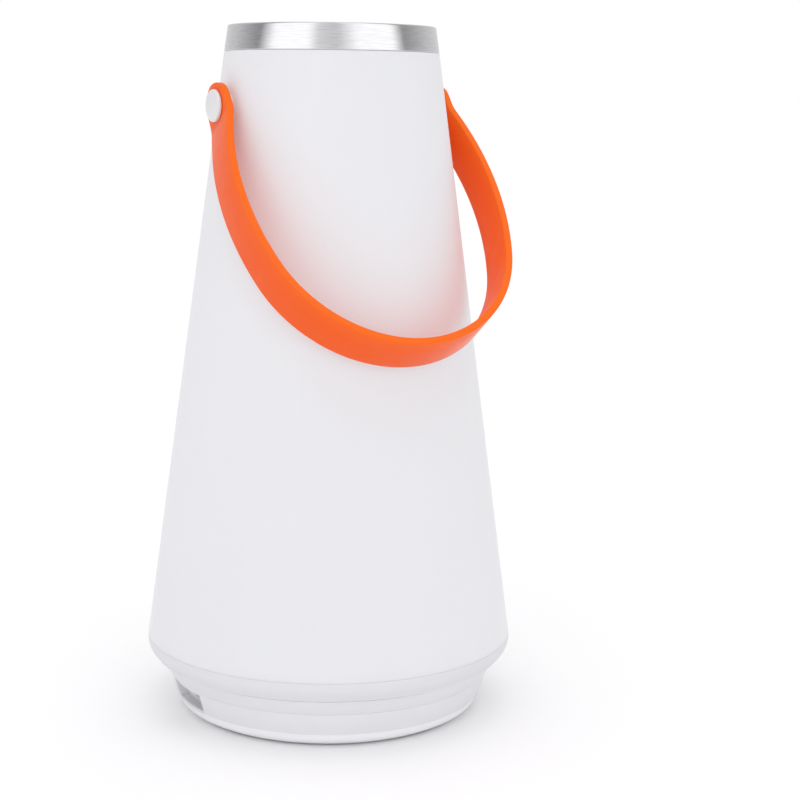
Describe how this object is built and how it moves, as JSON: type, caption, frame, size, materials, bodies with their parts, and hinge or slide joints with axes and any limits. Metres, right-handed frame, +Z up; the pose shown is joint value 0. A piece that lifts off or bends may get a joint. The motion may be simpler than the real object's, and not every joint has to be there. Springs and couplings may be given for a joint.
{
  "type": "portable led lantern",
  "caption": "Rechargeable table and camping lantern: frosted cone shade, metal touch ring, round base and a swinging carry strap.",
  "frame": {"origin": "centre of the underside, on the lamp's axis, where the foot pad meets the table", "axes": "+Z up along the lamp's axis; the strap's pivots lie along X with the charging port below the -X pivot; the strap hangs towards -Y"},
  "size_m": [0.1098, 0.1115, 0.2026],
  "materials": {
    "frosted_shade": "frosted translucent white",
    "ring_metal": "fine brushed, bright",
    "white_cap": "satin white",
    "white_shell": "fine satin white",
    "strap_tpu": "soft matte orange",
    "rivet_white": "satin white",
    "port_grey": "matte grey",
    "pad_rubber": "matte grey",
    "socket_steel": "satin",
    "black_plastic": "matte black",
    "screw_steel": "zinc plated",
    "board_green": "solder mask",
    "component_black": "moulded epoxy",
    "cell_wrap": "shrink wrap",
    "led_board_white": "white solder mask on aluminium",
    "led_yellow": "phosphor",
    "contact_metal": "nickel plated",
    "lead_red": "wire insulation",
    "lead_white": "wire insulation",
    "washer_nylon": "nylon"
  },
  "bodies": {
    "lamp": {"shade": "frosted_shade", "top_ring": "ring_metal", "top_cap": "white_cap", "touch_contact": "contact_metal", "touch_lead": "lead_white", "base_housing": "white_shell", "base_foot": "white_shell", "foot_pad": "pad_rubber", "foot_screws": "screw_steel", "port_panel": "port_grey", "usb_socket_shell": "socket_steel", "usb_socket_tongue": "black_plastic", "control_board": "board_green", "board_components": "component_black", "board_screws": "screw_steel", "battery_cell": "cell_wrap", "battery_cradle": "black_plastic", "battery_contacts": "contact_metal", "battery_leads": "lead_red", "led_board": "led_board_white", "led_chips": "led_yellow", "led_screws": "screw_steel", "led_leads": "lead_white", "left_rivet": "rivet_white", "right_rivet": "rivet_white", "left_washer": "washer_nylon", "right_washer": "washer_nylon", "left_retainer": "washer_nylon", "right_retainer": "washer_nylon"},
    "strap": {"strap": "strap_tpu"}
  },
  "joints": [
    {"name": "strap_swing", "type": "hinge", "parent": "lamp", "child": "strap", "pos_m": [0, 0, 0.1796], "axis": [-1, 0, 0], "range_deg": [0, 284]}
  ]
}
